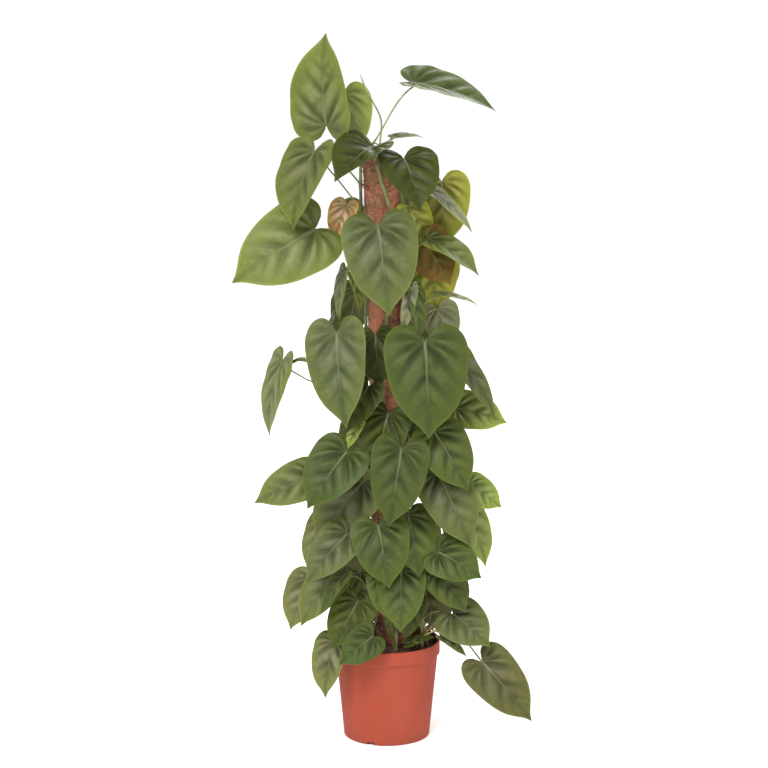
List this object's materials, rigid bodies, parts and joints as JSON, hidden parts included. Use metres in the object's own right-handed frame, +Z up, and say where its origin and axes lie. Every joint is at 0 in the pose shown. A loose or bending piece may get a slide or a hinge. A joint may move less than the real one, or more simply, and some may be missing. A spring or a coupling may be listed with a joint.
{
  "type": "potted heartleaf philodendron",
  "caption": "Tall climbing house plant with heart-shaped leaves on a coir pole, standing in a round tapered nursery pot.",
  "frame": {"origin": "middle of the pot's underside, on the surface it stands on", "axes": "+Z up along the pot's axis, -Y towards the front of the plant, +X to the right seen from the front"},
  "size_m": [0.518, 0.31, 1.245],
  "materials": {
    "pot": "satin moulded terracotta plastic",
    "soil": "crumbly dark potting soil",
    "pole_core": "plain turned wood",
    "coir": "rough red-brown coconut fibre",
    "leaf": "satin green leaf",
    "leaf_low": "satin olive leaf with brown margins"
  },
  "bodies": {
    "root": {"pot": "pot", "soil": "soil", "pole_core": "pole_core", "coir_sleeve": "coir", "vine_left": "leaf", "vine_front": "leaf", "vine_right": "leaf", "vine_back": "leaf", "vine_runner": "leaf_low"}
  },
  "joints": []
}
